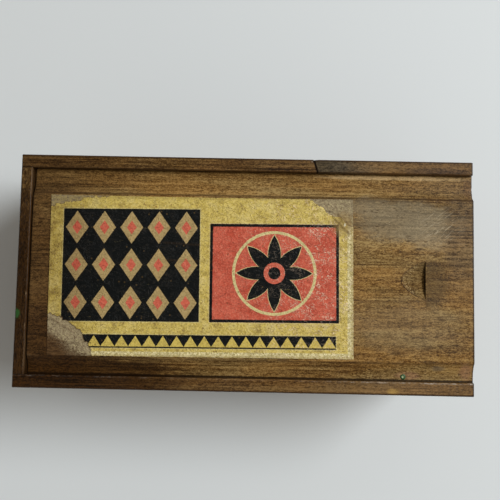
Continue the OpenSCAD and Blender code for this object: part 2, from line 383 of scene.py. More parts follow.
def notch_marks(tree, colour):
    """The notch's dark outline, its stop cut and scoop darkened as painted shade, painted glints on
    the scoop's shoulder, and the smooth thumb-worn place beyond it.
    """
    x, y, z = tree.split(tree.place)
    across = tree.sub(y, NOTCH_Y)
    bowl = tree.mul(across, across, 1 / (2 * GOUGE_R))
    depth = tree.sub(tree.mul(tree.sub(x, NOTCH_X - NOTCH_L), NOTCH_DEPTH / NOTCH_L), bowl)
    before = tree.step(x, NOTCH_X + 0.15, NOTCH_X - 0.05)
    fine = tree.noise(1.3, detail=4, rough=0.7)
    outline = tree.step(tree.absolute(depth), 0.11, 0.03)
    outline = tree.mul(outline, tree.step(y, NOTCH_Y + 5.0, NOTCH_Y - 2.0, (0.70, 0.95)), before)
    colour = tree.over(colour, DARK_STAIN_AND_SHADE, outline, tree.step(fine, 0.3, 0.6))
    # The scoop is dull, and its colour darkened as painted shade
    tree.matt_and_shade = tree.mul(tree.step(depth, 0.03, 0.12), before)
    colour = tree.mix(tree.matt_and_shade, colour, (0.72, 0.78, 0.90), "MULTIPLY")
    # Pale specks on the scoop's shoulder, as painted glints
    scoop_glints = tree.spots(tree.placed(1.5, 1.9, 0.0), (0.44, 0.16), (0.28, 0.38))
    shoulder = tree.mul(tree.step(depth, 0.02, 0.10), tree.step(depth, 0.72, 0.42), before)
    shoulder = tree.mul(shoulder, tree.step(x, NOTCH_X - 3.6, NOTCH_X - 5.4))
    colour = tree.over(colour, (0.520, 0.370, 0.180), scoop_glints, shoulder, 0.80)
    # The stop cut's face, near-black as painted shade
    cut = near(tree, (NOTCH_X, NOTCH_Y, 0.0), (1.0, 1 / NOTCH_W * 0.42, 0.0), 0.22, soft=0.5)
    deep = tree.mul(cut, tree.step(z, FIELD_Z - 0.02, FIELD_Z - 0.12))
    colour = tree.mix(deep, colour, DEEP_SHADE_AND_DIRT)
    worn = oval(tree, NOTCH_X + 3.0, NOTCH_Y - 1.8, 7.8, 11.0, fine, soft=0.35)
    worn = tree.mul(worn, tree.step(x, NOTCH_X + 0.1, NOTCH_X + 0.3))
    colour = tree.mix(tree.mul(worn, 0.95), colour, (0.58, 0.60, 0.60), "MULTIPLY")
    return tree.over(colour, (0.098, 0.066, 0.038), worn, 0.22)


def grey_patch_scratches(tree, colour):
    """Short slanting scratches, and pale specks as painted glints, in the greyed varnish and
    painted sheen beyond the label.
    """
    slanting = tree.scaled(tree.turned(math.radians(-38)), (0.20, 2.0, 1.0))
    streak = tree.step(tree.noise(detail=3, rough=0.6, at=slanting), 0.56, 0.63)
    place = oval(tree, 95.5, 24.5, 9.0, 8.0)
    colour = tree.over(colour, PALE_SCRATCH_AND_GLINT, place, streak, 0.60)
    sheen_glints = tree.spots(tree.placed(0.9, 1.3, 0.0), (0.26, 0.12), (0.80, 0.86))
    place = oval(tree, 79.0, 24.0, 26.0, 13.0)
    return tree.over(colour, PALE_SCRATCH_AND_GLINT, place, sheen_glints, 0.8)


def lid_extra(tree, colour):
    return notch_marks(tree, grey_patch_scratches(tree, label_edge_shadow_and_dirt(tree, colour)))


def crack_line(tree, colour):
    """Painted shade and dirt in the split: a dark line on both sides of its gap."""
    x, y, z = tree.split(tree.place)
    away = tree.sub(tree.sub(x, CRACK_X - CRACK_GAP / 2),
                    tree.mul(tree.sub(OUTER_Y, y), CRACK_SLANT))
    wander = tree.noise(0.8, detail=3)
    away = tree.add(tree.absolute(away), tree.mul(tree.sub(wander, 0.5), 0.7))
    line = tree.mul(tree.step(away, 0.70, 0.45), tree.step(y, INNER_Y - 0.4, INNER_Y - 0.1))
    line = tree.mul(line, tree.step(z, LIP_Z - 0.3, LIP_Z))
    return tree.over(colour, DEEP_SHADE_AND_DIRT, line, 0.92)


def dash(x, y, length, width=0.9, strength=0.6):
    """A dark dash in the lid's top, along the grain."""
    return blot((x, y, FIELD_Z), (length / 2, width / 2, 4.0), DARK_STAIN_AND_SHADE, strength)


def rail_edges(side, corner, inner_arris):
    """Darkening along a rail's outer arris and open end, painted shade in the corner above the
    lid, and darkening along the inner arris, at the strengths given for these two."""
    return [
        ((0, side * OUTER_Y, RIM_Z), (0, 1, 1), 0.8, DARK_STAIN_AND_SHADE, 0.92),
        ((0, side * INNER_Y, SHELF_Z + 0.6), (0, 1, 0.6), 1, DEEP_SHADE_AND_DIRT, corner),
        ((0, side * INNER_Y, RIM_Z), (0, 1, 1), 0.34, DARK_STAIN_AND_SHADE, inner_arris),
        ((WALL_HI.x, 0, RIM_Z), (1, 0, 0.45), 0.8, DEEP_SHADE_AND_DIRT, 0.88),
    ]


def make_materials():
    """Every finish of the object, by name."""
    # The walls darker toward the shut end: stain, and painted shade
    dark_end_stain_and_shade = blot((-100, 0, RIM_Z), (40, 90, 30), (0.046, 0.021, 0.006), 0.66)
    front_stains_and_shade = [
        dark_end_stain_and_shade,
        # The front rail darker toward the shut end: stain, and painted shade
        blot((-80, -56, RIM_Z), (54, 20, 24), (0.034, 0.012, 0.002), 0.88),
        blot((14, -55), (44, 9), (0.084, 0.042, 0.015), 0.36),
        blot((84, -55), (32, 9), (0.225, 0.135, 0.060), 0.5),
        blot((71.6, -55), (2.6, 1.3), (0.400, 0.240, 0.066), 0.75),
    ]
    back_stains_and_shade = [dark_end_stain_and_shade, blot((CRACK_X - 20, 53), (30, 8), (0.100, 0.055, 0.022), 0.4)]
    back_marks = [
        blot((CRACK_X - 0.9, 56, RIM_Z), (0.4, 0.6, 2), WORN_PALE, 0.3),
        # A near-black line on the rail's top beside the crack: painted shade of a step along its
        # edge
        blot((CRACK_X - 14, INNER_Y + 1.15, RIM_Z), (15, 0.3, 2), DEEP_SHADE_AND_DIRT, 0.85),
    ]
    # The shut end's board darkened: stain, and painted shade
    end_stains_and_shade = [blot((-109, -18, RIM_Z), (14, 68, 18), (0.028, 0.011, 0.002), 0.96)]
    repair_stains = [
        blot((CRACK_X + 7, 55), (11, 9), (0.066, 0.050, 0.028), 0.9),
        blot((CRACK_X + 18, 52), (10, 5), (0.085, 0.062, 0.036), 0.72),
        blot((CRACK_X + 33, 54), (12, 2.6), (0.210, 0.122, 0.048), 0.5),
        blot((CRACK_X + 62, 54), (22, 5), (0.120, 0.064, 0.024), 0.6),
        blot((CRACK_X + 60, 51.8), (16, 1.8), (0.070, 0.038, 0.018), 0.65),
    ]
    lid_stains_and_shade = [
        # The first four darken the lid toward the shut end: stain, and painted shade
        blot((-108, -14), (33, 72), (0.084, 0.040, 0.012), 0.88),
        blot((-97, -36), (15, 22), (0.054, 0.024, 0.007), 0.85),
        blot((-79, -50), (46, 9), (0.044, 0.017, 0.003), 0.92),
        blot((-90, 44), (34, 9), (0.120, 0.060, 0.018), 0.5),
        # Right of the label: worn grey varnish with painted sheen
        blot((76, 27.5), (24, 9.5), GREY_WEAR_AND_SHEEN, 0.8),
        blot((62, 33), (12, 5.5), GREY_WEAR_AND_SHEEN, 0.6),
        blot((92, 23.5), (15, 9.5), scaled_tone(GREY_WEAR_AND_SHEEN, 1.12), 0.66),
        blot((78, -24), (26, 11), GREY_WEAR_AND_SHEEN, 0.34),
        blot((105, 20), (8, 24), (0.150, 0.090, 0.040), 0.7),
        blot((80, -48), (6, 1.8), PINK_RUB, 0.55),
        blot((107.5, -46), (3, 4), PINK_RUB, 0.6),
        blot((92, 44.6), (24, 3.2), (0.170, 0.090, 0.028), 0.55),
        blot((74, 48.9), (33, 1), (0.600, 0.400, 0.185), 0.95),
        blot((110, 44), (3.5, 7), (0.130, 0.060, 0.020), 0.6),
    ]
    lid_marks = [
        dash(100.8, 17.3, 5, 1.3), dash(107.4, 19.6, 6.5, 1.1), dash(81.5, 11.3, 12, 0.6),
        dash(76.4, 12.2, 4.5, 0.8), dash(79.1, 17.5, 2.5, 1), dash(84.5, 13.7, 5, 0.9),
        dash(92.3, 11, 7, 0.7), dash(101.5, 11.1, 9, 0.7), dash(99, -1, 10, 1.4, 0.5),
        dash(89.4, 35.5, 6, 1, 0.4), dash(93.8, 34.8, 6, 0.8, 0.3), dash(98.4, 33.4, 3.2, 2.2, 0.4),
        dash(79.3, 20, 3, 0.8), dash(73.4, -37, 5, 1.5), dash(101.3, -35.7, 3, 1.2),
        dash(99, -36.1, 3, 1.2), dash(102.4, -32.7, 4, 1.2), dash(89.3, -41, 7, 1.2, 0.6),
        blot((94.1, -44, SHELF_Z), (3.2, 1.3, 4), (0.110, 0.085, 0.060), 0.5),
    ]
    # Painted shade and dirt: dark lines at the coves' tops, in the gaps along the rails and at the
    # shut end; a dark line along the open end's arris
    lid_edges = [
        ((0, FIELD_BACK + 0.5, FIELD_Z - 0.5), (0, 1, 1), 0.65, DARK_STAIN_AND_SHADE, 0.62),
        ((0, FIELD_FRONT - 0.5, FIELD_Z - 0.5), (0, 1, 1), 0.5, DARK_STAIN_AND_SHADE, 0.3),
        ((0, -INNER_Y, SHELF_Z), (0, 1, 0), 0.75, DEEP_SHADE_AND_DIRT, 0.9),
        ((0, INNER_Y, SHELF_Z), (0, 1, 0), 0.4, DEEP_SHADE_AND_DIRT, 0.45),
        ((LID_HI.x, 0, FIELD_Z), (1, 0, 0.3), 0.8, DEEP_SHADE_AND_DIRT, 0.85),
        ((LID_LO.x, 0, 0), (1, 0, 0), 0.5, DEEP_SHADE_AND_DIRT, 0.75),
    ]
    # Dark joints at the long walls, a dark line along the outer arris, and painted shade along the
    # inner arris and on the inner face above the lid
    end_edges = [
        ((0, INNER_Y, RIM_Z), (0, 1, 0.4), 0.3, DEEP_SHADE_AND_DIRT, 0.9),
        ((0, -INNER_Y, RIM_Z), (0, 1, 0.4), 0.3, DEEP_SHADE_AND_DIRT, 0.9),
        ((END_LO.x, 0, RIM_Z), (1, 0, 1), 0.5, DEEP_SHADE_AND_DIRT, 0.7),
        ((END_HI.x, 0, 0), (1, 0, 0), 0.35, DARK_STAIN_AND_SHADE, 0.7),
        ((END_HI.x, 0, SHELF_Z + 1.2), (1, 0, 1), 1, DEEP_SHADE_AND_DIRT, 0.75),
    ]
    end_marks = [
        blot((-110.7, -21.2, RIM_Z), (1.7, 2.2, 2.2), OLD_GREEN, 0.9),
        blot((-106, -41, RIM_Z - 1.4), (0.7, 8, 1.6), WORN_BROWN, 0.5),
        blot((-106, 44, RIM_Z - 1.4), (0.7, 7, 1.6), WORN_BROWN, 0.6),
    ]
    repair_edges = rail_edges(1, 0.3, 0.5)
    repair_edges.append(((0, 0, LIP_Z), (0, 0, 1), 0.25, DEEP_SHADE_AND_DIRT, 0.7))
    return {
        "front": wood("stained_front", "X", WALL_TONES, front_stains_and_shade,
                      edges=rail_edges(-1, 0.75, 0.0), worn=WORN_PALE),
        "back": wood("stained_back", "X", WALL_TONES, back_stains_and_shade, back_marks,
                     rail_edges(1, 0.65, 0.75), extra=crack_line),
        "repair": wood("stained_repair", "X", WALL_TONES, repair_stains, edges=repair_edges,
                       extra=crack_line),
        "end": wood("stained_end", "Y", WALL_TONES, end_stains_and_shade, end_marks, end_edges),
        "lid": wood("stained_lid", "X", LID_TONES, lid_stains_and_shade, lid_marks, lid_edges,
                    extra=lid_extra, pitted=(96.0, -27.0, 27.0, 14.0)),
        "base": wood("stained_base", "X", BASE_TONES),
        "bare": wood("bare_inside", "X", BARE_TONES, bare=True),
        "bare_end": wood("bare_inside_end", "Y", BARE_TONES, bare=True),
        "label": label_paper(),
        "steel": dull_steel(),
        "paint": green_paint(),
    }


# Inks and paper of the label
OCHRE = (0.635, 0.475, 0.108)
OCHRE_PALE = (0.700, 0.555, 0.200)
OCHRE_BROWN = (0.330, 0.225, 0.066)
INK_BLACK = (0.004, 0.005, 0.005)
CORAL = (0.640, 0.128, 0.076)
CORAL_DARK = (0.540, 0.088, 0.050)
BUFF = (0.440, 0.310, 0.130)
CREAM = (0.680, 0.570, 0.262)
TORN_PALE = (0.375, 0.296, 0.172)
TORN_GREY = (0.225, 0.166, 0.096)
TORN_BROWN = (0.085, 0.044, 0.016)

# The sheet was cut a little out of square: its edges stray by this much toward three corners
SKEW_OPEN_END = 0.55
SKEW_BACK_LEFT = 1.3
SKEW_FRONT_RIGHT = -0.6

# Misfit of the black plate: a pale line is left around its shapes
HALO = 0.34
SOFT = 0.12


def label_design(tree, u, v, age, speck):
    """The print: a harlequin panel on the left, a coral panel with a star wheel on the right,
    a band of triangles below, and bare margins at the open end and along the front."""

    def inside(distance):
        """Full where the signed distance, in millimetres, is below 0."""
        return tree.step(distance, SOFT, -SOFT)

    def outside_of(distance):
        return tree.mul(distance, -1.0)

    def block(centre, half):
        du = tree.sub(tree.absolute(tree.sub(u, centre[0])), half[0])
        dv = tree.sub(tree.absolute(tree.sub(v, centre[1])), half[1])
        return tree.peak(du, dv)

    def repeat(value, pitch):
        """The place within a row of copies, from -pitch/2 to pitch/2."""
        return tree.sub(tree.math("FLOORED_MODULO", value, pitch), pitch / 2)

    def lozenges(corner, pitch, half):
        du = tree.mul(tree.absolute(repeat(tree.sub(u, corner[0]), pitch[0])), 1 / half[0])
        dv = tree.mul(tree.absolute(repeat(tree.sub(v, corner[1]), pitch[1])), 1 / half[1])
        return tree.mul(tree.sub(tree.add(du, dv), 1.0), min(half))

    def triangle_row(corner, pitch, height):
        """A row of solid triangles that stand on the line through corner."""
        du = tree.mul(tree.absolute(repeat(tree.sub(u, corner[0]), pitch)), 2 * height / pitch)
        dv = tree.sub(v, corner[1])
        return tree.mul(tree.peak(tree.sub(tree.add(du, dv), height), outside_of(dv)), 0.7)

    panel_mid, panel_half = (-34.0, 5.5), (33.5, 27.5)
    panel = block(panel_mid, panel_half)
    pitch = (2 * panel_half[0] / 5, 2 * panel_half[1] / 3)
    corner = (panel_mid[0] - panel_half[0], panel_mid[1] - panel_half[1])
    harlequin = lozenges(corner, pitch, (5.6, 8.0))
    hearts = lozenges(corner, pitch, (2.4, 3.4))
    wheel_mid = (36.0, 2.0)
    square = block(wheel_mid, (31.5, 24.0))
    frame_line = tree.peak(square, outside_of(block(wheel_mid, (30.1, 22.6))))
    wheel_u, wheel_v = tree.sub(u, wheel_mid[0]), tree.sub(v, wheel_mid[1])
    away = tree.vector("LENGTH", tree.join(wheel_u, wheel_v, 0.0))
    turn = tree.mul(tree.math("ARCTAN2", wheel_v, wheel_u), 8 / (2 * math.pi))
    tooth = tree.mul(tree.absolute(repeat(turn, 1.0)), 2.0)
    star = tree.mul(tree.sub(away, tree.sub(18.5, tree.mul(tree.sub(1.0, tooth), 10.5))), 0.6)
    ring = tree.peak(tree.sub(away, 20.6), tree.sub(19.2, away))
    hub = tree.peak(tree.sub(away, 5.2), tree.sub(3.0, away))
    band = block((-1.0, -31.5), (67.0, 3.2))
    teeth = triangle_row((-68.0, -34.0), 6.7, 5.2)

    ground = tree.ramp(age, [(0.31, OCHRE_BROWN), (0.48, OCHRE), (0.68, OCHRE_PALE)])
    ground = tree.mix(tree.step(speck, 0.53, 0.66), ground, OCHRE_PALE)
    colour = tree.over(ground, OCHRE_BROWN, tree.step(speck, 0.47, 0.34), 0.85)
    black = tree.low(panel, frame_line, band)
    worn_coral = tree.mix(tree.step(age, 0.40, 0.60), CORAL_DARK, CORAL)
    colour = tree.over(colour, CREAM, inside(tree.sub(black, HALO)), 0.7)
    for distance, ink in ((square, worn_coral), (ring, CREAM), (tree.sub(star, HALO), CREAM),
                          (tree.low(black, star), INK_BLACK), (hub, CORAL),
                          (tree.peak(panel, harlequin), BUFF), (tree.peak(panel, hearts), CORAL),
                          (tree.peak(band, teeth), OCHRE)):
        colour = tree.mix(inside(distance), colour, ink)
    margin = tree.peak(tree.step(u, HALF_L - 2.5, HALF_L - 2.2),
                       tree.step(v, -HALF_W + 2.3, -HALF_W + 2.0))
    rubbed = tree.mix(tree.step(speck, 0.42, 0.58), (0.500, 0.405, 0.160), (0.860, 0.745, 0.420))
    return tree.mix(margin, colour, rubbed)


def label_wear(tree, colour, u, v, age, speck, off_ridge):
    """Mottling, painted glints toward the open end, rubbed ink, foxing, pale wrinkles that are
    rubbed ink and painted highlights, and a darkening toward the shut end that is dirt of
    handling and painted shade; off_ridge is small on the ridges of the wrinkles."""
    mottle = tree.noise(1.15, detail=5, rough=0.75)
    shades = [(0.30, (0.52, 0.49, 0.46)), (0.45, (0.94,) * 3), (0.56, (1.0,) * 3)]
    colour = tree.mix(1.0, colour, tree.ramp(mottle, shades), "MULTIPLY")
    # Pale patches painted as glints, stronger toward the open end
    print_glints = tree.mul(tree.step(mottle, 0.54, 0.66), tree.step(u, -40.0, 60.0, (0.10, 0.38)))
    off_black = tree.step(tree.split(colour)[0], 0.02, 0.30)
    colour = tree.over(colour, (0.760, 0.560, 0.360), print_glints, off_black)
    dust = tree.step(speck, 0.40, 0.32)
    colour = tree.over(colour, (0.200, 0.060, 0.030), dust, off_black, 0.55)
    scuff = tree.noise(detail=8, rough=0.78, at=tree.placed(0.8, 1.5, 1.0))
    scuffed = tree.mul(tree.step(scuff, 0.64, 0.73), tree.add(0.10, tree.mul(off_black, 0.35)))
    colour = tree.mix(scuffed, colour, OCHRE_PALE)
    thread = tree.noise(detail=6, rough=0.7, warp=1.5, at=tree.placed(0.10, 1.3, 1.0))
    colour = tree.over(colour, OCHRE_PALE, tree.step(thread, 0.66, 0.72), 0.45)
    fox = tree.spots(tree.place, (0.20, 0.08), (0.66, 0.72), scale=0.36)
    colour = tree.over(colour, (0.120, 0.070, 0.022), fox, 0.6)
    broken = tree.step(tree.noise(0.15, detail=2), 0.42, 0.56)
    # Pale on the wrinkles' ridges: rubbed ink, and painted highlights stronger toward the open end
    ridge_rub_and_highlight = tree.mul(tree.step(off_ridge, 0.036, 0.008), broken,
                     tree.step(u, 14.0, 56.0, (0.06, 0.70)))
    ridge_rub_and_highlight = tree.mul(ridge_rub_and_highlight, tree.add(0.30, tree.mul(off_black, 0.70)), tree.step(speck, 0.40, 0.52))
    colour = tree.mix(ridge_rub_and_highlight, colour, (0.800, 0.600, 0.440))
    # Darker toward the shut end: dirt of handling, and painted shade
    soil_and_shade = tree.mul(tree.step(u, -40.0, -HALF_L), tree.step(age, 0.30, 0.62, (1.0, 0.70)))
    colour = tree.mix(soil_and_shade, colour, (0.58, 0.54, 0.50), "MULTIPLY")
    rim = tree.peak(tree.sub(tree.absolute(u), HALF_L), tree.sub(tree.absolute(v), HALF_W))
    rim = tree.mul(tree.step(tree.add(rim, tree.mul(speck, 2.2)), 0.1, 0.9), 0.45)
    return tree.mix(rim, colour, OCHRE_BROWN)


def label_tears(tree, colour, u, v, speck, fluff, torn):
    """Torn places show the grey-brown ply under the print, and the wood where that is gone."""
    hair = tree.noise(1.2, detail=4, rough=0.7, at=tree.placed(1.0, 2.4, 1.0))
    fibres = tree.add(tree.mul(fluff, 0.6), tree.mul(hair, 0.4))
    bared = tree.mix(tree.step(fibres, 0.40, 0.60), TORN_GREY, TORN_PALE)
    bared = tree.over(bared, CREAM, tree.step(speck, 0.56, 0.66), 0.5)
    bared = tree.over(bared, TORN_BROWN, tree.step(fluff, 0.44, 0.32), 0.6)
    back_left = oval(tree, -60.0, HALF_W, 22.0, 6.0, hair, soft=0.3)
    bared = tree.over(bared, (0.150, 0.105, 0.055), back_left, 0.55)
    bared = tree.over(bared, (0.300, 0.225, 0.095), back_left, tree.step(speck, 0.44, 0.54))

    # The corner at the shut end's front is the darkest, with curls of the ply
    corner = tree.add(tree.mul(tree.add(u, HALF_L), 1 / 19.0),
                      tree.mul(tree.add(v, HALF_W), 1 / 13.0))
    corner = tree.add(corner, tree.mul(tree.sub(tree.add(hair, fluff), 1.0), 0.9))
    corner = tree.step(corner, 1.15, 0.75)
    bared = tree.over(bared, (0.095, 0.052, 0.022), corner, 0.80)
    curl = tree.noise(0.62, detail=2, warp=1.8)
    curl = tree.step(tree.absolute(tree.sub(curl, 0.5)), 0.030, 0.010)
    bared = tree.over(bared, (0.030, 0.015, 0.006), curl, corner, 0.75)

    tear_edge = tree.mul(tree.step(torn, 0.15, 0.35), tree.step(torn, 0.75, 0.55))
    colour = tree.mix(tear_edge, colour, TORN_BROWN)
    colour = tree.mix(tree.step(torn, 0.45, 0.6), colour, bared)
    grain = tree.noise(detail=5, rough=0.7, at=tree.placed(0.22, 1.6, 1.0))
    through = tree.mix(tree.step(grain, 0.35, 0.65), (0.034, 0.014, 0.004), (0.120, 0.062, 0.022))
    lost = tree.add(tree.attribute("lost"), tree.mul(tree.sub(hair, 0.5), 2.8))
    colour = tree.mix(tree.step(lost, 0.40, 0.85), colour, through)
    flap = oval(tree, 69.6, 26.2, 4.6, 5.0, speck)
    colour = tree.over(colour, (0.310, 0.200, 0.070), flap, 0.75)
    colour = tree.over(colour, TORN_BROWN, tree.attribute("crease"), 0.60)
    glint = oval(tree, 70.4, 26.0, 0.45, 0.7, speck)
    return tree.mix(glint, colour, (0.680, 0.610, 0.440))


def label_paper():
    """Old printed paper with a plain geometric design, its tears given by the mesh."""
    tree = Tree("label_print")
    shake = tree.mul(tree.sub(tree.noise(0.9, detail=4, rough=0.7), 0.5), 0.55)
    u, v, _ = tree.split(tree.place)
    u = tree.add(u, shake)
    v = tree.add(v, tree.mul(shake, -0.8))
    age = tree.noise(0.16, detail=7, rough=0.7)
    speck = tree.noise(0.95, detail=5, rough=0.75)
    fluff = tree.noise(0.75, detail=6, rough=0.72)
    wrinkle = tree.noise(0.42, detail=2, warp=1.8, at=tree.placed(0.50, 0.85, 1.0))
    off_ridge = tree.absolute(tree.sub(wrinkle, 0.5))
    torn = tree.attribute("torn")
    colour = label_design(tree, u, v, age, speck)
    colour = label_wear(tree, colour, u, v, age, speck, off_ridge)
    colour = label_tears(tree, colour, u, v, speck, fluff, torn)

    relief = tree.bump(fluff, 0.06)
    relief = tree.bump(tree.noise(0.30, detail=4), 0.14, below=relief)
    relief = tree.bump(tree.step(off_ridge, 0.07, 0.0), 0.14, below=relief)
    rough = tree.peak(tree.step(age, 0.3, 0.7, (0.40, 0.58)), tree.mul(torn, 0.9))
    return tree.finish(colour, rough, relief, specular=0.15)


def dull_steel():
    """Oxidised steel of the panel pins."""
    tree = Tree("pin_steel")
    rust = tree.noise(1.3, detail=5, rough=0.7)
    colour = tree.mix(tree.step(rust, 0.45, 0.62), (0.165, 0.155, 0.145), (0.110, 0.048, 0.018))
    tree.shader.inputs["Metallic"].default_value = 0.8
    return tree.finish(colour, tree.step(rust, 0.4, 0.6, (0.38, 0.7)), tree.bump(rust, 0.05))


def green_paint():
    """A dried ring of old green paint, pale where its middle has worn through."""
    tree = Tree("green_paint")
    away = tree.vector("LENGTH", tree.placed(1.0, 1.0, 0.0))
    dirt = tree.noise(2.0, detail=4)
    away = tree.add(away, tree.mul(tree.sub(dirt, 0.5), 0.5))
    colour = tree.mix(tree.step(away, 0.35, 0.80), (0.290, 0.340, 0.170), (0.018, 0.070, 0.014))
    return tree.finish(colour, 0.45, tree.bump(dirt, 0.1))


def random_dents(seed, lo, hi, count, depth, width):
    """Dents along an edge: (place, half width, depth) in millimetres."""
    draw = random.Random(seed)
    return [(draw.uniform(lo, hi), draw.uniform(*width),
             depth[0] + (depth[1] - depth[0]) * draw.random() ** 2) for _ in range(count)]


def dent_at(dents, place):
    """How deep the deepest dent at this place along the edge is."""
    deepest = 0.0
    for centre, half, depth in dents:
        share = (place - centre) / half
        if abs(share) < 1:
            deepest = max(deepest, depth * (1 - share * share) ** 2)
    return deepest


def eased(node, width, least_angle=38.0):
    """The CAD node's mesh as a bmesh in millimetres, with its flat faces whole again and a
    small round along every sharp edge."""
    mesh = bmesh.new()
    mesh.from_mesh(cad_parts[node].data)
    bmesh.ops.scale(mesh, vec=(1 / MM,) * 3, verts=mesh.verts)
    bmesh.ops.remove_doubles(mesh, verts=mesh.verts, dist=0.0005)
    bmesh.ops.dissolve_limit(mesh, angle_limit=math.radians(0.3), verts=mesh.verts,
                             edges=mesh.edges)
    sharp = [e for e in mesh.edges
             if len(e.link_faces) == 2 and e.calc_face_angle(0.0) > math.radians(least_angle)]
    bmesh.ops.bevel(mesh, geom=sharp, offset=width, offset_type="OFFSET", segments=2,
                    profile=0.6, affect="EDGES", clamp_overlap=True)
    return mesh


def evenly(start, end, pitch):
    steps = int((end - start) / pitch)
    return [start + (end - start) * i / steps for i in range(1, steps)]


def slice_mesh(mesh, axis, places):
    """Cuts across the mesh at these places, so that its edges can wander between them."""
    normal = Vector([1.0 if i == axis else 0.0 for i in range(3)])
    for place in places:
        geometry = mesh.verts[:] + mesh.edges[:] + mesh.faces[:]
        bmesh.ops.bisect_plane(mesh, geom=geometry, dist=0.0001, plane_co=normal * place,
                               plane_no=normal)


def shown(name, data):
    """A new object of the scene."""
    piece = bpy.data.objects.new(name, data)
    bpy.context.scene.collection.objects.link(piece)
    return piece


def smooth_piece(mesh, name, materials, sharp=None):
    """Turns a bmesh in millimetres into a smooth object; edges above the angle stay sharp."""
    bmesh.ops.scale(mesh, vec=(MM,) * 3, verts=mesh.verts)
    for face in mesh.faces:
        face.smooth = True
    data = bpy.data.meshes.new(name)
    mesh.to_mesh(data)
    mesh.free()
    for material in materials:
        data.materials.append(material)
    if sharp:
        data.set_sharp_from_angle(angle=math.radians(sharp))
    return shown(name, data)


def wooden_piece(mesh, body, node, materials, index_of=None):
    """Shows a bmesh in millimetres in place of its CAD node. index_of tells which material a
    face has from its middle and its normal."""
    if index_of:
        mesh.normal_update()
        for face in mesh.faces:
            face.material_index = index_of(face.calc_center_median(), face.normal)
    piece = smooth_piece(mesh, f"{node}_wood", materials, WOOD_SHARP)

    # Keeps broad faces flat beside their small rounds
    modifier = piece.modifiers.new("weighted", "WEIGHTED_NORMAL")
    modifier.mode = "FACE_AREA"
    modifier.weight = 100
    modifier.keep_sharp = True
    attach(piece, body)
    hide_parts(node)


def mark(mesh, name):
    """The float layer of the mesh's vertices with this name."""
    return mesh.verts.layers.float.get(name) or mesh.verts.layers.float.new(name)


def wear_rail(mesh, side, seed):
    """Dents and rubs the rim of a long wall; side is 1 at the back and -1 at the front, where
    the inner edge is rubbed most toward the open end."""
    slice_mesh(mesh, 0, evenly(WALL_LO.x, WALL_HI.x, 1.3))
    slice_mesh(mesh, 1, [side * (INNER_Y + 0.8), side * (OUTER_Y - 0.9)])
    slice_mesh(mesh, 2, [RIM_Z - 0.8])
    wear = mark(mesh, "wear")
    inner = random_dents(seed, WALL_LO.x, WALL_HI.x, 90, (0.02, 0.34), (0.6, 2.4))
    outer = random_dents(seed + 1, WALL_LO.x, WALL_HI.x, 50, (0.02, 0.24), (0.8, 4.0))
    mid_y = side * (INNER_Y + OUTER_Y) / 2
    for vert in mesh.verts:
        x, y, z = vert.co
        near_inner = abs(abs(y) - INNER_Y) < 0.5
        near_outer = abs(abs(y) - OUTER_Y) < 0.5
        if z > RIM_Z - 0.5 and (near_inner or near_outer):
            depth = dent_at(inner if near_inner else outer, x)
            wobble = 0.06 * noise.noise((x * 0.25, seed, side))
            vert.co.y += (1.0 if y < mid_y else -1.0) * max(0.0, 0.6 * depth + wobble)
            vert.co.z -= 0.7 * depth
            if near_inner:
                open_end = max(0.0, min(1.0, (x - 35.0) / 30.0)) if side < 0 else 0.0
                rubbed = 0.5 + 0.5 * noise.noise((x * 0.16, seed, 3.0))
                share = 0.12 + 0.88 * open_end
                vert[wear] = min(1.0, share * (depth * 3.0 + 2.2 * max(0.0, rubbed - 0.36)))


def long_wall(node, side, stained, bare, seed):
    """A long wall, bare inside; side is 1 at the back and -1 at the front."""
    mesh = eased(node, 0.14)
    wear_rail(mesh, side, seed)
    wooden_piece(mesh, "box", node, [stained, bare],
                 lambda place, normal: int(normal.y * side < -0.5 and place.z < BARE_Z))


def repaired_lip(materials):
    """The glued stretch of lip, with the corner beside the crack chipped off."""
    mesh = eased("back_wall_lip", 0.18)
    wear_rail(mesh, 1, 31)
    chip = Vector((LIP_LO.x, OUTER_Y, RIM_Z))
    for vert in mesh.verts:
        close = max(0.0, 1.0 - (vert.co - chip).length / 1.6)
        vert.co.y -= 0.35 * close
        vert.co.z -= 0.6 * close
    wooden_piece(mesh, "box", "back_wall_lip", [materials["repair"]])


def end_board(node, lo, hi, facing, materials, seed):
    """An end board with its top edges dented; facing is the way its inner face looks along X."""
    mesh = eased(node, 0.14)
    slice_mesh(mesh, 1, evenly(lo.y, hi.y, 1.6))
    slice_mesh(mesh, 0, [lo.x + 0.8, hi.x - 0.8])
    slice_mesh(mesh, 2, [hi.z - 0.8, BARE_Z])
    wear = mark(mesh, "wear")
    dents = [random_dents(seed + i, lo.y, hi.y, 36, (0.03, 0.42), (0.7, 3.4)) for i in (0, 1)]
    mid_x = (lo.x + hi.x) / 2
    for vert in mesh.verts:
        x, y, z = vert.co
        inner_side = (x - mid_x) * facing > 0
        if z > hi.z - 0.5 and abs(x - mid_x) > (hi.x - lo.x) / 2 - 0.5 and abs(y) < INNER_Y - 0.4:
            depth = dent_at(dents[int(inner_side)], y)
            vert.co.x += (0.6 if x < mid_x else -0.6) * depth
            vert.co.z -= 0.7 * depth
            vert[wear] = min(0.7, depth * 1.2)
    wooden_piece(mesh, "box", node, [materials["end"], materials["bare_end"]],
                 lambda place, normal: int(normal.x * facing > 0.5 and place.z < BARE_Z))


def base(materials):
    """The base board, bare on top."""
    mesh = eased("base_board", 0.12, least_angle=50.0)
    wooden_piece(mesh, "box", "base_board", [materials["base"], materials["bare"]],
                 lambda place, normal: int(normal.z > 0.5))


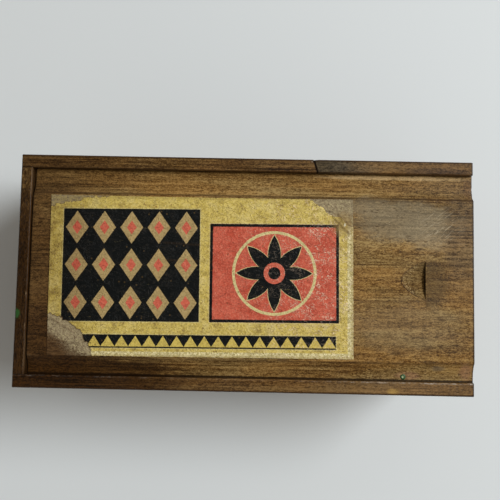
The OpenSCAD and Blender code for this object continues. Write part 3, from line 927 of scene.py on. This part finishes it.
def lid(materials):
    """The fielded lid, bare below: its arrises dented, the field's edges and its ends rubbed."""
    mesh = eased("sliding_lid", 0.20, least_angle=30.0)
    slice_mesh(mesh, 0, [*evenly(LID_LO.x, LID_HI.x, 1.8), LID_LO.x + 0.8, LID_HI.x - 0.8])
    slice_mesh(mesh, 1, [FIELD_FRONT + 0.9, FIELD_BACK - 0.9])
    wear = mark(mesh, "wear")
    arris = [random_dents(51 + i, LID_LO.x, LID_HI.x, 60, (0.02, 0.30), (0.8, 4.0)) for i in (0, 1)]
    ends = random_dents(61, LID_LO.y, LID_HI.y, 46, (0.03, 0.40), (0.8, 3.5))
    for vert in mesh.verts:
        x, y, z = vert.co
        for edge_y, dents, way in ((FIELD_FRONT, arris[0], 1.0), (FIELD_BACK, arris[1], -1.0)):
            if abs(y - edge_y) < 0.6 and z > FIELD_Z - 0.8:
                depth = dent_at(dents, x)
                vert.co.z -= 0.6 * depth
                vert.co.y += way * 0.5 * depth
                vert[wear] = min(0.7, depth * 1.6)
        if z > SHELF_Z - 0.6 and (LID_HI.x - x < 0.5 or x - LID_LO.x < 0.5):
            depth = dent_at(ends, y)
            vert.co.x += (-0.7 if x > 0 else 0.7) * depth
            vert.co.z -= 0.5 * depth
            vert[wear] = max(vert[wear], min(0.8, depth * 1.6))
    wooden_piece(mesh, "lid", "sliding_lid", [materials["lid"], materials["bare"]],
                 lambda place, normal: int(normal.z < -0.5))


def tear_depth(u, v):
    """How far a point of the label lies inside one of its torn corners, and how far inside the
    one at the shut end's front, in millimetres. The others are the two at the back."""
    ragged = 1.5 * noise.fractal((u * 0.30, v * 0.30, 4.0), 0.9, 2.1, 4)
    back_left = 4.2 - 0.20 * (u + HALF_L) - (HALF_W - v)
    back_right = (0.62 * (u - (HALF_L - 21.5))) - (HALF_W - v)
    if u > HALF_L - 3.0:
        back_right = min(back_right, 15.0 - (HALF_W - v))
    back_right = min(back_right, (u - (HALF_L - 20.5)) * 2.4,
                     9.0 + 0.3 * (u - HALF_L + 12.0) - 0.5 * (HALF_W - v))
    along = (u + HALF_L) / 21.5
    across = (v + HALF_W) / 20.5
    front_left = 13.5 * (1.0 - (max(0.0, along) ** 1.5 + max(0.0, across) ** 1.5) ** (1 / 1.5))
    return max(back_left, back_right, front_left) + ragged, front_left


def crease_lines():
    """Short creases in the label: (start, end, height) in its own millimetres."""
    return [
        ((-18, 16.5), (4, 15.2), 0.1),
        ((-20, 8), (6, 7.4), 0.12),
        ((-64, 9.5), (-57, 8), 0.1),
        ((61.5, 21), (72, 10.5), 0.18),
        ((65, 29.6), (72.8, 21.6), 0.28),
        ((67.4, 31), (73.4, 25.2), 0.24),
        ((66, 24.4), (70.2, 29.4), 0.2),
        ((-73, -20), (-62, -27), 0.2),
        ((-71, -31), (-58, -33), 0.2),
    ]


def distance_to(point, start, end):
    """Distance from a point to the line between two others."""
    a, b, p = Vector(start), Vector(end), Vector(point)
    share = max(0.0, min(1.0, (p - a).dot(b - a) / (b - a).length_squared))
    return (p - a - (b - a) * share).length


def label(material):
    """The label as a thin closed sheet: print on backing, with ragged steps at the tears."""
    pitch = 0.40
    columns, rows = int(LABEL_L / pitch), int(LABEL_W / pitch)
    creases = crease_lines()
    mesh = bmesh.new()
    torn, lost, crease = mark(mesh, "torn"), mark(mesh, "lost"), mark(mesh, "crease")
    top, bottom = [], []
    for j in range(rows + 1):
        for i in range(columns + 1):
            u, v = LABEL_L * (i / columns - 0.5), LABEL_W * (j / rows - 0.5)
            nibble = 0.30 * abs(noise.noise((u * 0.8, v * 0.8, 9.0)))
            if i in (0, columns):
                u += nibble * (1 if i == 0 else -1)
            if j in (0, rows):
                v += nibble * (1 if j == 0 else -1)
            right, upper = u / LABEL_L + 0.5, v / LABEL_W + 0.5
            u += SKEW_OPEN_END * right
            v += (upper * (SKEW_BACK_LEFT * (1 - right) ** 2)
                  + (1 - upper) * SKEW_FRONT_RIGHT * right)
            inside, corner = tear_depth(u, v)
            bared = max(0.0, min(1.0, 0.5 + inside / 0.5))
            curl = 0.16 * math.exp(-((inside + 0.7) / 0.55) ** 2)
            fold = 0.0
            for start, end, height in creases:
                away = distance_to((u, v), start, end)
                fold = max(fold, height * max(0.0, 1 - away / 0.8))
            wave = 0.05 * (1 + noise.noise((u * 0.11, v * 0.15, 1.0)))
            pucker = max(0.0, (u + 20.0) / 94.0)
            wave += 0.05 * pucker * abs(noise.noise((u * 0.34 + v * 0.2, v * 0.5 - u * 0.1, 5.0)))
            gone = max(0.0, min(1.0, (corner - 4.5) / 5.0))
            height = PLY * (2 - bared * (1 - 0.4 * gone)) + wave + curl * (1 - bared) + fold
            vert = mesh.verts.new((u, v, max(0.03, height - 0.6 * PLY * gone)))
            vert[torn], vert[lost], vert[crease] = bared, gone, min(1.0, fold * 3.0)
            top.append(vert)
            at_edge = i in (0, columns) or j in (0, rows)
            bottom.append(mesh.verts.new((u, v, 0.0)) if at_edge else None)
    width = columns + 1
    for j in range(rows):
        for i in range(columns):
            k = j * width + i
            mesh.faces.new((top[k], top[k + 1], top[k + 1 + width], top[k + width]))
    border = list(range(columns)) + [j * width + columns for j in range(rows)]
    border += [rows * width + i for i in range(columns, 0, -1)]
    border += [j * width for j in range(rows, 0, -1)]
    for a, b in zip(border, border[1:] + border[:1]):
        mesh.faces.new((top[b], top[a], bottom[a], bottom[b]))
    mesh.faces.new([bottom[k] for k in reversed(border)])
    piece = smooth_piece(mesh, "lid_label_paper", [material], PAPER_SHARP)
    piece.location = (LABEL_MID.x * MM, LABEL_MID.y * MM, FIELD_Z * MM)
    piece.rotation_euler = (0.0, 0.0, LABEL_TURN)
    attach(piece, "lid")
    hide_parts("lid_label")


def paint_ring(material):
    """A dried ring of paint on the lid's front shoulder, thick at its rim, sunk in the middle."""
    mesh = bmesh.new()
    radius, rings, sides = 1.40, 6, 24
    centre = mesh.verts.new((0.0, 0.0, 0.06))
    previous = None
    for r in range(1, rings + 1):
        share = r / rings
        ring = []
        for s in range(sides):
            angle = 2 * math.pi * s / sides
            wobble = 1 + 0.20 * noise.noise((math.cos(angle) * 1.3, math.sin(angle) * 1.3, 3.0))
            rise = 0.06 + 0.20 * math.sin(math.pi * share ** 1.4) if r < rings else 0.0
            ring.append(mesh.verts.new((radius * share * wobble * math.cos(angle),
                                        radius * share * wobble * math.sin(angle), rise)))
        for s in range(sides):
            t = (s + 1) % sides
            if previous:
                mesh.faces.new((previous[s], ring[s], ring[t], previous[t]))
            else:
                mesh.faces.new((centre, ring[s], ring[t]))
        previous = ring
    mesh.faces.new(list(reversed(previous)))
    piece = smooth_piece(mesh, "lid_paint_ring", [material])
    piece.location = Vector((77.4, -48.4, SHELF_Z)) * MM
    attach(piece, "lid")


def pins(material):
    """The base pins stay the CAD's, with the finish of old steel."""
    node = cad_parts["base_pins"]
    node.data.materials.clear()
    node.data.materials.append(material)


# The camera's turns from straight down, in degrees, and its place over the middle of the rim
CAMERA_TURNS = (3.3, 0.28, 1.13)
CAMERA_PLACE = Vector((3.5, -2.4, 243.0))


def camera():
    """The photograph's view: nearly straight down on the rim."""
    data = bpy.data.cameras.new("view")
    data.sensor_width, data.lens = 36.0, 36.0
    data.clip_start, data.clip_end = 0.01, 10.0
    piece = shown("view", data)
    piece.rotation_mode = "ZYX"
    piece.rotation_euler = [math.radians(turn) for turn in CAMERA_TURNS]
    piece.location = (Vector(((WALL_LO.x + WALL_HI.x) / 2, 0.0, RIM_Z)) + CAMERA_PLACE) * MM
    bpy.context.scene.camera = piece


# Brightness of the room by height, from the horizon to the ceiling
ROOM = ((0.0, 0.78), (0.12, 0.66), (0.34, 0.48), (0.96, 0.10))

# Place of the lamp, in metres
LAMP_PLACE = (2.07, 0.72, 1.74)


def floor():
    """A plain pale floor."""
    bpy.ops.mesh.primitive_plane_add(size=9.0, location=(0.0, 0.0, 0.0))
    plane = bpy.context.object
    plane.name = "floor"
    tree = Tree("pale_floor")
    haze = tree.noise(0.004, detail=1)
    tree.finish(tree.mix(haze, (0.680, 0.704, 0.722), (0.705, 0.724, 0.730)), 0.9, specular=0.1)
    plane.data.materials.append(tree.material)


def lights():
    """One broad lamp to the right and a little behind, in a warm room with a dim ceiling."""
    data = bpy.data.lights.new("key", "AREA")
    data.shape = "ELLIPSE"
    data.size, data.size_y = 1.9, 1.0
    data.energy = 88.0
    data.color = (0.945, 0.985, 1.0)
    lamp = shown("key", data)
    lamp.location = LAMP_PLACE
    lamp.rotation_euler = (-lamp.location).to_track_quat("-Z", "Y").to_euler()

    world = bpy.data.worlds.new("room")
    bpy.context.scene.world = world
    world.use_nodes = True
    nodes, links = world.node_tree.nodes, world.node_tree.links
    kinds = "TexCoord", "SeparateXYZ", "ValToRGB"
    coords, split, ramp = [nodes.new("ShaderNode" + kind) for kind in kinds]
    links.new(coords.outputs["Generated"], split.inputs[0])
    links.new(split.outputs["Z"], ramp.inputs["Fac"])
    set_stops(ramp, [(height, (level, 0.935 * level, 0.830 * level)) for height, level in ROOM])
    links.new(ramp.outputs["Color"], nodes["Background"].inputs["Color"])


def main():
    materials = make_materials()
    long_wall("front_wall", -1, materials["front"], materials["bare"], 11)
    long_wall("back_wall", 1, materials["back"], materials["bare"], 21)
    repaired_lip(materials)
    end_board("fixed_end", END_LO, END_HI, 1, materials, 41)
    end_board("open_end", OPEN_LO, OPEN_HI, -1, materials, 45)
    base(materials)
    lid(materials)
    label(materials["label"])
    pins(materials["steel"])
    paint_ring(materials["paint"])
    camera()
    floor()
    lights()
    bpy.context.scene.view_settings.view_transform = "Standard"


main()
